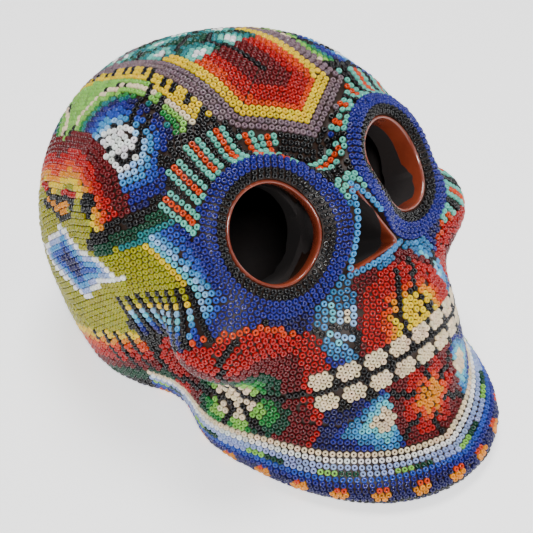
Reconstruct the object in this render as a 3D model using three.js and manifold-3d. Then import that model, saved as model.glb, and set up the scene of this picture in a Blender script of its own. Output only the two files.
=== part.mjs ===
// A beaded skull in the Huichol (Wixarika) manner: a hollow clay skull, a thin bed of wax over it,
// and glass seed beads pressed into the wax in fields of one motif each.
// Units are millimetres. +Z is up, the face looks towards -Y, and +X is the skull's own left.
import * as THREE from 'three';
import { mergeVertices } from 'three/addons/utils/BufferGeometryUtils.js';
import Module from 'manifold-3d';

const wasm = await Module();
wasm.setup();

// ---------------------------------------------------------------- driving dimensions
const LEAN_BACK = THREE.MathUtils.degToRad(30); // the skull rests leaning back on its jaw
const EYE_HEIGHT = 76;        // from the resting surface up to the middle of the eyes
const EYE_FORWARD = 27.3;     // from the middle of the resting length to the eyes

const BEAD_SKIN = 1.4;        // height of one layer of beads
const WAX_BED = 1.3;          // wax under the beads
const CLAY_WALL = 5.7;        // fired clay
const GAP = 0.3;              // left between solids that touch

const DETAIL = 7;             // subdivisions of the sphere that the surfaces are sampled on
const FACE_BIAS = 0.3;        // crowds the samples towards the face
const SAMPLE_CENTRE = new THREE.Vector3(0, 33, -9);

// Levels of the layers below the outer surface.
const BEAD_OUTSIDE = 0;
const BEAD_INSIDE = -BEAD_SKIN;
const WAX_OUTSIDE = BEAD_INSIDE - GAP;
const WAX_INSIDE = WAX_OUTSIDE - WAX_BED;
const CLAY_OUTSIDE = WAX_INSIDE - GAP;
const CLAY_INSIDE = CLAY_OUTSIDE - CLAY_WALL;

// The skull's masses, as ellipsoids in the skull's own frame: the origin is midway between the
// eyes, y runs backwards and z runs up the face. x counts on both sides. blend is how widely a
// mass melts into the ones before it.
const MASSES = [
  { name: 'cranium', at: [0, 65, 3], radii: [60, 58.5, 61], blend: 1 },
  { name: 'forehead', at: [0, 36.5, 15.5], radii: [60, 27.5, 38.5], blend: 20 },
  { name: 'occiput', at: [0, 83, -27], radii: [48.5, 41, 42.5], blend: 18 },
  { name: 'upper jaw', at: [0, 14.5, -41], radii: [38.5, 31.5, 31.5], blend: 14 },
  { name: 'chin', at: [0, 19, -67], radii: [38, 31, 26], blend: 14 },
  { name: 'jaw sides', at: [0, 36, -54], radii: [51, 34, 31], blend: 16 },
  { name: 'cheekbone', at: [42, 14, -20.5], radii: [20, 17.5, 16.5], blend: 14 },
  { name: 'orbit', at: [31, 18.5, 6.5], radii: [21, 13.5, 27], blend: 12 },
  { name: 'nose bridge', at: [0, -1.5, -5], radii: [15.5, 12.5, 16], blend: 10 },
];

// Each eye is a rounded ring that stands proud, with an oval opening through the shell.
const EYE = {
  x: 26.5, y: 1, z: 2,
  outward: THREE.MathUtils.degToRad(13),
  upward: THREE.MathUtils.degToRad(4),
  ringRadius: 19, ringTube: 4.6, disc: 3, blend: 7,
  openingWide: 13.6, openingTall: 14.9,
};

// Widths of the bead fields round each eye opening, and of the bare clay lip inside them.
const CLAY_LIP = 0.8;
const EYE_RIM_WIDTH = 2.6;
const EYE_RING_WIDTH = 8.4;
const EYE_RAYS_WIDTH = 16;

const SIDES = [[-1, 'right'], [1, 'left']];

// The jaw ends in a thick rolled rim that lies flat on the table.
const JAW_RIM = { wide: 39.5, long: 45, y: -11.5, z: 5.5, tube: 6, blend: 10 };
const FOOT_ROUNDING = 3;

// The nose opening, a triangle with blunt corners, a little wider on the skull's left.
const NOSE = { top: 4.4, bottom: -18, right: -9.4, left: 11.4, blunt: 1.4 };

// Two rows of teeth round the dental arch; step and offset are angles round it in degrees.
const TEETH = {
  upperZ: -44.4, lowerZ: -51.4, count: 9, step: 14.4, offset: 3,
  halfWidth: 3.8, halfHeight: 3.3, gum: 4, gumBack: 3,
};

// The pointed shield on the forehead hangs a little towards the skull's left.
const SHIELD = {
  top: 58, rightTop: -14, leftTop: 13, right: -13, left: 21, shoulder: 32, tip: 5, foot: 23,
  border: 4.5,
};

// The band round the jaw: the sole under it, the coloured band, then the white rows.
const SOLE = 2.2;
const BAND_TOP = 11.5;
const WHITE_ROWS = 4.4;
const BAND_BACK = 24;

// ---------------------------------------------------------------- frames
const restPose = new THREE.Matrix4().makeRotationX(-LEAN_BACK);
restPose.setPosition(0, -EYE_FORWARD, EYE_HEIGHT);
const cosLean = Math.cos(LEAN_BACK);
const sinLean = Math.sin(LEAN_BACK);

// Height above the table and place along the table of a point given in the skull's own frame.
function tableHeight(y, z) {
  return EYE_HEIGHT - y * sinLean + z * cosLean;
}
function tableBack(y, z) {
  return y * cosLean + z * sinLean;
}

// ---------------------------------------------------------------- the outer surface
function ellipsoidDistance(x, y, z, at, radii) {
  const a = (x - at[0]) / radii[0];
  const b = (y - at[1]) / radii[1];
  const c = (z - at[2]) / radii[2];
  const scale = Math.hypot(a, b, c);
  const slope = Math.hypot(a / radii[0], b / radii[1], c / radii[2]) || 1e-9;
  return (scale * (scale - 1)) / slope;
}

function melt(a, b, width) {
  const h = Math.max(width - Math.abs(a - b), 0) / width;
  return Math.min(a, b) - (h * h * width) / 4;
}

function eyeAxis(side) {
  return new THREE.Vector3(
    side * Math.sin(EYE.outward) * Math.cos(EYE.upward),
    -Math.cos(EYE.outward) * Math.cos(EYE.upward),
    Math.sin(EYE.upward),
  );
}

function eyeRingDistance(x, y, z) {
  const axis = eyeAxis(1);
  const dx = x - EYE.x;
  const dy = y - EYE.y;
  const dz = z - EYE.z;
  const along = dx * axis.x + dy * axis.y + dz * axis.z;
  const across = Math.hypot(dx - along * axis.x, dy - along * axis.y, dz - along * axis.z);
  const ring = Math.hypot(across - EYE.ringRadius, along) - EYE.ringTube;
  const disc = Math.hypot(Math.max(across - EYE.ringRadius, 0), along) - EYE.disc;
  return Math.min(ring, disc);
}

function jawRimDistance(x, y, z) {
  const a = x / JAW_RIM.wide;
  const b = (tableBack(y, z) - JAW_RIM.y) / JAW_RIM.long;
  const scale = Math.hypot(a, b);
  const slope = Math.hypot(a / JAW_RIM.wide, b / JAW_RIM.long) || 1e-9;
  const outside = Math.max((scale * (scale - 1)) / slope, 0);
  return Math.hypot(outside, tableHeight(y, z) - JAW_RIM.z) - JAW_RIM.tube;
}

// Signed distance, near enough, from the skull's outer surface: negative inside.
function skullDistance(x, y, z) {
  const side = Math.abs(x);
  let distance = 1e3;
  for (const mass of MASSES) {
    distance = melt(distance, ellipsoidDistance(side, y, z, mass.at, mass.radii), mass.blend);
  }
  distance = melt(distance, eyeRingDistance(side, y, z), EYE.blend);
  distance = melt(distance, jawRimDistance(x, y, z), JAW_RIM.blend);
  return -melt(-distance, tableHeight(y, z), FOOT_ROUNDING);
}

// ---------------------------------------------------------------- sampled closed surfaces
function sampleDirections(detail) {
  const sphere = new THREE.IcosahedronGeometry(1, detail);
  sphere.deleteAttribute('normal');
  sphere.deleteAttribute('uv');
  const merged = mergeVertices(sphere, 1e-4);
  const position = merged.getAttribute('position');
  const directions = [];
  for (let i = 0; i < position.count; i += 1) {
    const direction = new THREE.Vector3().fromBufferAttribute(position, i);
    direction.y -= FACE_BIAS;
    directions.push(direction.normalize());
  }
  return { directions, triangles: Uint32Array.from(merged.getIndex().array) };
}

function reach(direction, level) {
  let near = 0;
  let far = 150;
  for (let step = 0; step < 30; step += 1) {
    const middle = (near + far) / 2;
    const p = direction.clone().multiplyScalar(middle).add(SAMPLE_CENTRE);
    if (skullDistance(p.x, p.y, p.z) < level) near = middle;
    else far = middle;
  }
  return near;
}

function solidAtLevel(level, detail = DETAIL) {
  const { directions, triangles } = sampleDirections(detail);
  const vertices = new Float32Array(directions.length * 3);
  directions.forEach((direction, i) => {
    const p = direction.clone().multiplyScalar(reach(direction, level)).add(SAMPLE_CENTRE);
    vertices.set([p.x, p.y, p.z], i * 3);
  });
  return new wasm.Manifold(
    new wasm.Mesh({ numProp: 3, vertProperties: vertices, triVerts: triangles }),
  );
}

function solidFromGeometry(geometry) {
  const bare = geometry.clone();
  bare.deleteAttribute('normal');
  bare.deleteAttribute('uv');
  const merged = mergeVertices(bare, 1e-4);
  return new wasm.Manifold(new wasm.Mesh({
    numProp: 3,
    vertProperties: Float32Array.from(merged.getAttribute('position').array),
    triVerts: Uint32Array.from(merged.getIndex().array),
  }));
}

// ---------------------------------------------------------------- cutters
// A rod of oval section whose middle is at a point and whose length runs along an axis.
function rod(at, axis, wide, tall, start, end, sides = 28) {
  const geometry = new THREE.CylinderGeometry(1, 1, end - start, sides);
  geometry.scale(wide, 1, tall);
  geometry.translate(0, (start + end) / 2, 0);
  const up = new THREE.Vector3(0, 0, 1);
  const across = new THREE.Vector3().crossVectors(axis, up).normalize();
  const tallways = new THREE.Vector3().crossVectors(across, axis).normalize();
  geometry.applyMatrix4(new THREE.Matrix4().makeBasis(across, axis, tallways));
  geometry.translate(at[0], at[1], at[2]);
  return solidFromGeometry(geometry);
}

// An outline in the x-z plane of the skull, pushed along y from one depth to another.
function frontPrism(points, fromY, toY) {
  const shape = new THREE.Shape(points.map(([x, z]) => new THREE.Vector2(x, z)));
  const geometry = new THREE.ExtrudeGeometry(shape, { depth: toY - fromY, bevelEnabled: false });
  geometry.rotateX(Math.PI / 2);
  geometry.translate(0, toY, 0);
  return solidFromGeometry(geometry);
}

// A box between two corners in the skull's own frame.
function block(low, high) {
  const size = high.map((value, i) => value - low[i]);
  const geometry = new THREE.BoxGeometry(...size);
  geometry.translate(...high.map((value, i) => (value + low[i]) / 2));
  return solidFromGeometry(geometry);
}

// The same, on one side of the middle; the first corner is the one nearer the middle.
function halfBlock(side, low, high) {
  if (side > 0) return block(low, high);
  return block([-high[0], low[1], low[2]], [-low[0], high[1], high[2]]);
}

// A box whose faces are level with the table, given in heights and distances along the table.
function levelBlock(low, high) {
  const size = high.map((value, i) => value - low[i]);
  const geometry = new THREE.BoxGeometry(...size);
  geometry.translate(...high.map((value, i) => (value + low[i]) / 2));
  geometry.applyMatrix4(restPose.clone().invert());
  return solidFromGeometry(geometry);
}

function eyeRod(side, extra, start = -30, end = 14) {
  return rod(
    [side * EYE.x, EYE.y, EYE.z], eyeAxis(side),
    EYE.openingWide + extra, EYE.openingTall + extra, start, end,
  );
}

function nosePrism(extra) {
  const left = NOSE.left + extra * 1.5;
  const right = NOSE.right - extra * 1.5;
  const top = NOSE.top + extra * 1.9;
  const bottom = NOSE.bottom - extra;
  const blunt = NOSE.blunt;
  return frontPrism([
    [right + blunt, bottom], [left - blunt, bottom], [left, bottom + blunt],
    [blunt / 2, top], [-blunt / 2, top], [right, bottom + blunt],
  ], -40, 12);
}

function shieldPrism(extra) {
  const shape = SHIELD;
  return frontPrism([
    [shape.tip, shape.foot - extra * 1.1], [shape.left + extra, shape.shoulder - extra * 0.5],
    [shape.leftTop + extra, shape.top], [shape.rightTop - extra, shape.top],
    [shape.right - extra, shape.shoulder - extra * 0.5],
  ], -40, 40);
}

// The dental arch is followed by angle, 0 at the middle of the face.
function archPoint(angle, z) {
  const direction = new THREE.Vector3(Math.sin(angle), -Math.cos(angle), 0);
  const centre = new THREE.Vector3(0, 22, z);
  let near = 0;
  let far = 90;
  for (let step = 0; step < 30; step += 1) {
    const middle = (near + far) / 2;
    const p = direction.clone().multiplyScalar(middle).add(centre);
    if (skullDistance(p.x, p.y, p.z) < 0) near = middle;
    else far = middle;
  }
  return { point: direction.clone().multiplyScalar(near).add(centre), direction };
}

// ---------------------------------------------------------------- the object
const skull = new THREE.Group();
skull.matrixAutoUpdate = false;
skull.matrix.copy(restPose);

function addPart(name, solid, colour, roughness) {
  const mesh = solid.getMesh();
  const geometry = new THREE.BufferGeometry();
  const width = mesh.numProp;
  const positions = new Float32Array((mesh.vertProperties.length / width) * 3);
  for (let i = 0; i < positions.length / 3; i += 1) {
    positions.set(mesh.vertProperties.subarray(i * width, i * width + 3), i * 3);
  }
  geometry.setAttribute('position', new THREE.BufferAttribute(positions, 3));
  geometry.setIndex(new THREE.BufferAttribute(Uint32Array.from(mesh.triVerts), 1));
  geometry.computeVertexNormals();
  const material = new THREE.MeshStandardMaterial({ color: colour, roughness, metalness: 0 });
  const part = new THREE.Mesh(geometry, material);
  part.name = name;
  skull.add(part);
}

function openings(extra) {
  return eyeRod(-1, extra).add(eyeRod(1, extra)).add(nosePrism(extra));
}

// The shell stays one piece: its eye and nose openings lead into the hollow.
const clay = solidAtLevel(CLAY_OUTSIDE)
  .subtract(solidAtLevel(CLAY_INSIDE, DETAIL - 3))
  .subtract(openings(0));
addPart('clay_shell', clay, 0x8c3a24, 0.35);

const wax = solidAtLevel(WAX_OUTSIDE).subtract(solidAtLevel(WAX_INSIDE))
  .subtract(openings(CLAY_LIP));
addPart('wax_bed', wax, 0x9a6a2c, 0.5);

let beads = solidAtLevel(BEAD_OUTSIDE).subtract(solidAtLevel(BEAD_INSIDE))
  .subtract(openings(CLAY_LIP));

// Lifts one field of beads out of what is left of the bead layer, with a gap round it.
function field(name, cutter, colour) {
  addPart(name, beads.intersect(cutter(-GAP / 2)), colour, 0.2);
  beads = beads.subtract(cutter(GAP / 2));
}

field('nose_edge', (grow) => nosePrism(CLAY_LIP + 2.2 + grow), 0x4f9fc4);

for (const [side, sideName] of SIDES) {
  field(`eye_rim_${sideName}`, (grow) => eyeRod(side, EYE_RIM_WIDTH + grow, -7), 0x101010);
  field(`eye_ring_${sideName}`, (grow) => eyeRod(side, EYE_RING_WIDTH + grow, -9), 0x1c2f9a);
}

// Two rows of teeth, each tooth a small rosette of cream beads.
const rows = [['upper', TEETH.upperZ], ['lower', TEETH.lowerZ]];
for (const [rowName, z] of rows) {
  for (let i = 0; i < TEETH.count; i += 1) {
    const turn = (i - (TEETH.count - 1) / 2) * TEETH.step + TEETH.offset;
    const { point, direction } = archPoint(THREE.MathUtils.degToRad(turn), z);
    const cutter = (grow) => rod(
      point.toArray(), direction,
      TEETH.halfWidth + grow, TEETH.halfHeight + grow, -8, 8, 6,
    );
    field(`${rowName}_tooth_${i + 1}`, cutter, 0xf2ead2);
  }
}
field('gum_line', (grow) => block(
  [-60, -40, TEETH.lowerZ - TEETH.gum - grow],
  [60, TEETH.gumBack + grow, TEETH.upperZ + TEETH.gum + grow],
), 0x141414);

// The sole, and the coloured band round the jaw rim with its white rows on top.
field('sole', (grow) => levelBlock([-80, -120, -5], [80, 120, SOLE + grow]), 0x23306e);
field('jaw_band', (grow) => levelBlock(
  [-80, -120, -5], [80, BAND_BACK + grow, BAND_TOP + grow],
), 0x24409c);
field('jaw_white_rows', (grow) => levelBlock(
  [-80, -120, -5], [80, BAND_BACK + grow, BAND_TOP + WHITE_ROWS + grow],
), 0xefece4);

// Cheeks: one large flower on each side of the jaw.
for (const [side, sideName] of SIDES) {
  field(`cheek_flower_${sideName}`, (grow) => rod(
    [side * 30, 30, -43], new THREE.Vector3(side, 0, 0), 31 + grow, 26 + grow, -10, 40, 20,
  ), 0xa32420);
}

// Chin: a flower between two stepped triangles.
field('chin_flower', (grow) => block([-14 - grow, -40, -110], [14 + grow, 20, -45]), 0xb3261c);
for (const [side, sideName] of SIDES) {
  field(`chin_triangle_${sideName}`, (grow) => halfBlock(
    side, [0, -40, -110], [60, 40, -50 + grow],
  ), 0x3f9fc8);
}

// Upper lip: a sun, with a stepped blue field under each eye.
field('lip_sun', (grow) => frontPrism([
  [-22 - grow, -60], [22 + grow, -60], [20 + grow, -30], [11 + grow, -14], [-11 - grow, -14],
  [-20 - grow, -30],
], -40, 20), 0xd8401c);

// Forehead: a pointed shield inside a border.
field('forehead_shield', (grow) => shieldPrism(grow), 0xd83018);
field('shield_border', (grow) => shieldPrism(SHIELD.border + grow), 0xa8929a);

// The sides: a bird in a rainbow arch on each temple, and rays over the brows.
field('brow_middle', (grow) => block([-9 - grow, -40, -4.5], [9 + grow, 20, 30]), 0x58bfae);
for (const [side, sideName] of SIDES) {
  field(`bird_panel_${sideName}`, (grow) => rod(
    [side * 30, 60, 7], new THREE.Vector3(side, 0, 0), 41 + grow, 42 + grow, -6, 40, 24,
  ), 0x9aa428);
  field(`brow_rays_${sideName}`, (grow) => eyeRod(side, EYE_RAYS_WIDTH + grow, -18, 26)
    .intersect(halfBlock(side, [GAP / 2, -60, 4], [90, 60, 60])), 0x58bfae);
  field(`under_eye_${sideName}`, (grow) => halfBlock(
    side, [GAP / 2, -40, -90], [90, 50, 23 + grow],
  ), 0x3f8fc8);
}

// The crown and the fields beside it.
field('crown', (grow) => block([-16 - grow, 5, 10], [16 + grow, 78 + grow, 100]), 0x2f7a58);
for (const [side, sideName] of SIDES) {
  field(`crown_band_${sideName}`, (grow) => halfBlock(
    side, [0, -40, 0], [29 + grow, 78 + grow, 100],
  ), 0xe0c020);
  field(`temple_diamond_${sideName}`, (grow) => halfBlock(
    side, [0, -40, 0], [90, 78 + grow, 100],
  ), 0x3a5cc0);
}
addPart('back_of_head', beads, 0xc0392b, 0.2);

export default skull;
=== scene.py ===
"""Beaded skull: glass seed beads laid one by one over the packed clay skull."""
import math

import bmesh
import bpy
import numpy as np
from mathutils import Matrix, Vector, kdtree


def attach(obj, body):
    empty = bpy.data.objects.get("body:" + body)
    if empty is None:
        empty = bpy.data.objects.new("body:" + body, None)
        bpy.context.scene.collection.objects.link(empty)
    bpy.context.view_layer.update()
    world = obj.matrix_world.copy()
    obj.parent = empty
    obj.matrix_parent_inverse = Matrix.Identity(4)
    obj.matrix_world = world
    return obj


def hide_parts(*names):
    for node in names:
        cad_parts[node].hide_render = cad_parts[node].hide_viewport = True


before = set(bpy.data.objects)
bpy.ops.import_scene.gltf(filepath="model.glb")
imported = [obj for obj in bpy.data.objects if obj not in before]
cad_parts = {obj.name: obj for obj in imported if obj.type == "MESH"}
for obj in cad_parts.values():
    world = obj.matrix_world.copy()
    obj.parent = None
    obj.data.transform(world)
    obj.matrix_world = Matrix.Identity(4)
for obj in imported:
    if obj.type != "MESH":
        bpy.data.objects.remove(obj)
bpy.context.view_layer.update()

RANDOM = np.random.default_rng(11)

# ------------------------------------------------------------------ the skull, in millimetres
LEAN_BACK = math.radians(30)
EYE_HEIGHT = 76.0
EYE_FORWARD = 27.3
MASSES = (
    # at, radii, blend; a mass off the middle stands on both sides
    ((0, 65, 3), (60, 58.5, 61), 1),            # dome
    ((0, 36.5, 15.5), (60, 27.5, 38.5), 20),    # forehead
    ((0, 83, -27), (48.5, 41, 42.5), 18),       # back of the head
    ((0, 14.5, -41), (38.5, 31.5, 31.5), 14),   # upper jaw
    ((0, 19, -67), (38, 31, 26), 14),           # chin
    ((0, 36, -54), (51, 34, 31), 16),           # sides of the jaw
    ((42, 14, -20.5), (20, 17.5, 16.5), 14),    # cheekbone
    ((31, 18.5, 6.5), (21, 13.5, 27), 12),      # brow
    ((0, -1.5, -5), (15.5, 12.5, 16), 10),      # bridge of the nose
)
# The left eye: its centre, how it faces, the ring round it and the size of its opening.
EYE_AT = np.array([26.5, 1.0, 2.0])
EYE_OUTWARD = math.radians(13)
EYE_UPWARD = math.radians(4)
EYE_RING_RADIUS = 19.0
EYE_RING_TUBE = 4.6
EYE_DISC = 3.0
EYE_BLEND = 7
EYE_WIDE = 13.6
EYE_TALL = 14.9
EYE_MEAN = 14.2
# The rolled rim of the jaw.
RIM_WIDE, RIM_LONG, RIM_BACK, RIM_UP, RIM_TUBE, RIM_BLEND = 39.5, 45.0, -11.5, 5.5, 6.0, 10
FOOT_ROUNDING = 3.0
NOSE_CORNERS = ((-9.4, -18.0), (11.4, -18.0), (0.0, 4.6))
CRANIUM = np.array([0.0, 65.0, 3.0])
CRANIUM_RADIUS = 60
# How a point slides onto the surface: steps, share of the gap in a step, and the furthest it
# may move back or ahead in one.
MARCH_STEPS, MARCH_SHARE, MARCH_LIMITS = 60, 0.8, (-2, 8)
TINY = 1e-9
# Where the wax and clay surfaces are sampled from.
SHELL_CENTRE = np.array([0.0, 26.0, -42.0])
# The space searched for free beads, and how finely.
CLOUD_BOX = ((-66, 66), (-22, 130), (-102, 68))
CLOUD_STEP = 1.2

# ------------------------------------------------------------------ the beads
PITCH = 2.2                 # bead centre to bead centre along a row
ROW = 1.92                  # row to row
BEAD_RADIUS = 1.06
BEAD_HEIGHT = 1.4
BEAD_SIDES = 10
# The bead's section: distance from its axis, and height.
BEAD_PROFILE = ((0.40, -0.50), (0.40, 0.46), (0.70, 0.70), (0.98, 0.46), (1.06, -0.10),
                (0.80, -0.70))

# Least gaps between beads, in pitches: free ones, ones in laid rows and ones in grown rows.
FREE_GAP, LAID_GAP, GROWN_GAP = 0.86, 0.8, 0.93
# Neighbours this far apart, in pitches, can take a grown bead between them.
PAIR_GAPS = (0.6, 1.6)
# How far beads keep from the openings while they are filled in, and at the end.
OPENING_CLEARANCE, LAST_CLEARANCE = 1.6, 1.5
# Free beads push each other apart: rounds, rounds between searches, neighbours, reach in
# pitches, and the share of a push that is taken. Beads that stay nearer than LEAST_GAP go.
PUSH_ROUNDS, PUSH_SEARCH, PUSH_NEIGHBOURS, PUSH_REACH, PUSH_SHARE = 40, 8, 7, 1.06, 0.25
LEAST_GAP = 1.5

# ------------------------------------------------------------------ the laid rows
# Rows round each eye, from its edge outwards.
EYE_ROWS = ("black", "black", "blue", "blue", "blue")
RAYS = {
    # side: angle of the first ray, angle between rays, how many, how far they follow RAY_LEAN
    -1: (27.0, 21.6, 6, 0.72),
    1: (34.0, 20.5, 11, 0.0),
}
# Beads in a ray, and the direction that the right brow's rays lean in.
RAY_LENGTH = 7
RAY_LEAN = np.array([0.13, 0.66, 0.74])
# Combs on the cheekbones: colours down a column, the line their tops follow (back, up), and
# the point that the columns spread from.
COMB_COLOURS = ("olive", "olive", "yellow", "pale_blue", "aqua", "sky", "cobalt", "blue", "navy")
COMB_TOP = ((12.0, -3.0), (43.0, -3.5))
COMB_SOURCE = (28.0, 46.0)
# Heights of the two rows of teeth and of the black row between them.
UPPER_TEETH, LOWER_TEETH, BITE = -44.4, -51.6, -48.0
TOOTH_STEP = 9.1
# A tooth: its level and how many beads lie in it, row by row.
TOOTH = ((-1, 3), (0, 4), (1, 3))
# The jaw's rows from the top down, and the height of the topmost by angle from the front.
BAND_ROWS = ("cream", "white", "lavender", "dashes", "cobalt", "blue", "navy", "flowers",
             "navy", "black")
BAND_TOP = ((0, 12.6), (40, 15.6), (75, 16.6), (110, 14.5), (150, 11.0))
# Corners of the forehead shield on the dome: sideways, and back over the crown.
SHIELD = ((5.5, 21), (22.5, 31), (20, 46.5), (14.5, 92), (-16, 92), (-13.5, 32.5))

# ------------------------------------------------------------------ the painted patterns
# The rainbow arch on each temple, and the lines behind which the side pattern repeats.
ARCH = (56.0, 17.0, 34.0, 30.5)      # middle back, middle up, half length, height
PANEL_FOLD = 85.0
ARCH_FOLD = 66.0
ARCH_STOPS = ((4.6, "burgundy"), (7.4, "red"), (9.4, "orange"), (11.4, "amber"), (14, "yellow"),
              (99, "olive"))
# Corners of the bird's wing (back, up).
WING = ((84, 14), (76, 18), (62, 22.5), (50, 15), (41, 12.5), (32.5, 3), (46, 2), (50, 1),
        (62, -4), (70, 3.5), (78, 7))
# Lines in the bird and its beak: corners (back, up), half width and colour.
BIRD_LINES = (
    (((73, 31), (66, 27.8), (61, 26.8), (55, 28)), 1.3, "amber"),
    (((76, 29.5), (70, 28), (64, 24.8), (57, 24.4), (50, 27)), 1.1, "black"),
    (((76, 33.5), (70, 31.5), (64, 29), (57, 29.6), (49, 29.6)), 1.1, "black"),
    (((60, 31.6), (54, 32), (48, 30.8)), 1.0, "red"),
    (((80, 35.4), (74, 33.6)), 1.0, "red"),
)
BEAK_LINES = (
    (((38, 14.4), (26, 17.2), (11, 20.0)), 2.4, "dark_green"),
    (((28, 13.2), (11, 17.0)), 1.1, "teal"),
    (((41, 16.4), (26, 20.4), (9, 23.6)), 1.9, "black"),
)
WING_STOPS = ((2.0, "white"), (3.6, "lavender"), (5.4, "sky"), (7.6, "cobalt"), (99, "navy"))
FRONT_STOPS = ((2.3, "yellow"), (4.2, "aqua"), (6.2, "pale_blue"), (8.6, "sky"), (11.5, "cobalt"),
               (99, "blue"))
TAIL_STOPS = ((17, "olive"), (20, "yellow"), (22.6, "amber"), (25.6, "orange"), (30, "red"),
              (35, "burgundy"), (40, "dark_green"), (99, "black"))
# The blue diamond behind each brow, in arc lengths over the dome.
DIAMOND_AT = (43.0, 50.0)
DIAMOND_STOPS = ((8.2, "white"), (10.2, "pale_blue"), (12.6, "sky"), (15.8, "cobalt"),
                 (18.8, "blue"), (20.8, "navy"), (22.4, "teal"), (24.6, "green"),
                 (28, "light_green"), (31, "cream"), (99, "light_green"))
DIAMOND_SPOTS = ((47, 33, 41), (41, 34.5, 46.5), (45, 38.5, 43.5), (48.5, 28, 37), (51, 33, 36))
SHIELD_STOPS = ((4.2, "yellow"), (6.3, "orange"), (11, "red"), (99, "burgundy"))
CROWN_MIDDLE = 94.0
# The stars on the crown (sideways, back), and the rings of each.
STARS = ((6.5, 58.5), (12.0, 70.5), (4.5, 81.0), (11.5, 91.0))
STAR_RINGS = ((5.4, "teal"), (3.9, "turquoise"), (2.0, "white"))
# Edges of the fields on the lower face, as (up, across).
CHIN_RIGHT = ((-81, 18), (-64, 13.5), (-55, 13))
CHIN_LEFT = ((-81, -12.5), (-66, -15.5), (-55, -16.5))
CHEEK_EDGE = ((-66, 39), (-62, 35.5), (-56, 34), (-53, 32.5), (-42, 34), (-41, 28.5), (-30, 28.5),
              (-27, 34), (-24, 36), (-20, 44), (-17, 60))
CHEEK_RIM = ((60, -17), (50, -18), (44, -20.5), (38, -24), (34.5, -27))
CHEEK_STOPS = ((8.0, "cream"), (11.6, "light_green"), (15, "green"), (19.6, "dark_green"),
               (27.4, "burgundy"), (99, "red"))
CHIN_STOPS = ((6.0, "amber"), (8.2, "orange"), (12.4, "red"), (99, "burgundy"))
# The blue steps beside the nose, and the line that they step away from (across, up).
HINGE = ((14, -22), (17, -26), (21.5, -32.5))
HINGE_EDGE = ((29, -30), (21, -30.4), (19.5, -34), (20.6, -42))
HINGE_STOPS = ((1.3, "cream"), (2.8, "pale_blue"), (4.4, "aqua"), (6.4, "sky"), (8.8, "steel"),
               (11, "blue"), (99, "navy"))
# The sun between the nose and the teeth, with its strokes.
LIP = ((-23, -60), (-21.5, -41), (-17, -31), (-11.5, -21), (13.5, -21), (20, -27), (23, -41),
       (24, -60))
LIP_STOPS = ((0.88, "yellow"), (1.06, "amber"), (1.28, "orange"), (1.9, "red"), (99, "burgundy"))
LIP_LINES = (
    (((4.5, -24), (-1.5, -31), (-4, -36), (-5, -41)), 1.05, "black"),
    (((12.5, -24.5), (7.5, -29.5), (3.5, -33)), 1.05, "black"),
)
LIP_SPOTS = ((7.6, -35.2), (8.6, -39.4))
# The triangles beside the chin's flower.
TRIANGLE_AT = (18.5, -64.0)
TRIANGLE_STOPS = ((6.2, "cream"), (8.8, "aqua"), (11.2, "sky"), (13.4, "steel"), (15.6, "blue"),
                  (99, "navy"))
# The flower at the back of the head, and the ground round it.
BACK_FLOWER = (0.0, 124.0, -4.0)
GROUND_STOPS = ((24.6, "black"), (28, "turquoise"), (32, "sky"), (36, "cobalt"), (40, "blue"),
                (99, "navy"))
BACK_STOPS = ((3, "white"), (6, "yellow"), (9, "orange"), (13, "red"), (18, "burgundy"),
              (99, "orange"))

# ------------------------------------------------------------------ colours
PALETTE = {
    "black": (0.005, 0.005, 0.006),
    "navy": (0.010, 0.009, 0.080),
    "blue": (0.012, 0.014, 0.180),
    "cobalt": (0.020, 0.060, 0.350),
    "sky": (0.045, 0.240, 0.510),
    "pale_blue": (0.240, 0.470, 0.760),
    "aqua": (0.110, 0.470, 0.570),
    "turquoise": (0.100, 0.440, 0.350),
    "teal": (0.010, 0.150, 0.160),
    "steel": (0.025, 0.140, 0.310),
    "white": (0.800, 0.810, 0.800),
    "cream": (0.760, 0.610, 0.400),
    "lavender": (0.270, 0.350, 0.620),
    "mauve": (0.160, 0.105, 0.125),
    "burgundy": (0.110, 0.003, 0.006),
    "red": (0.340, 0.001, 0.003),
    "orange": (0.540, 0.040, 0.000),
    "amber": (0.640, 0.215, 0.000),
    "yellow": (0.720, 0.490, 0.000),
    "olive": (0.270, 0.260, 0.000),
    "dark_green": (0.003, 0.045, 0.022),
    "green": (0.015, 0.180, 0.035),
    "light_green": (0.190, 0.450, 0.065),
}
NAMES = list(PALETTE)
CODE = {name: index for index, name in enumerate(NAMES)}

# ------------------------------------------------------------------ camera and lamps
CAMERA_AZIMUTH = math.radians(-44.7)
CAMERA_ELEVATION = math.radians(35.2)
CAMERA_DISTANCE = 0.360
CAMERA_DROP = math.radians(2.62)
CAMERA_FIELD = math.radians(27.8)
LAMPS = (
    # name, place, size, power
    ("key", (-0.55, -0.65, 0.85), 0.22, 12.5),
    ("top", (0.15, 0.15, 1.2), 0.45, 12),
    ("side", (0.9, -0.5, 0.5), 0.4, 3.5),
)
WORLD_LIGHT = 0.22

# ------------------------------------------------------------------ wax and clay
# Levels below the beads' tops.
WAX_TOP, WAX_BOTTOM = -0.95, -3.0
CLAY_TOP, CLAY_BOTTOM = -3.3, -9.0
WAX_OPENING = 1.3           # how much wider the openings are in the wax
LIP_DEPTHS = {"right": 4.6, "left": 10.0, "nose": 7.6}

# ------------------------------------------------------------------ the surface
def unit(vectors):
    """Vectors brought to unit length."""
    return vectors / (np.linalg.norm(vectors, axis=-1, keepdims=True) + TINY)


def ellipsoid(points, at, radii):
    """Distance from an ellipsoid, near enough: negative inside."""
    radii = np.array(radii, float)
    scaled = (points - np.array(at, float)) / radii
    size = np.linalg.norm(scaled, axis=-1)
    slope = np.linalg.norm(scaled / radii, axis=-1) + TINY
    return size * (size - 1) / slope


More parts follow.
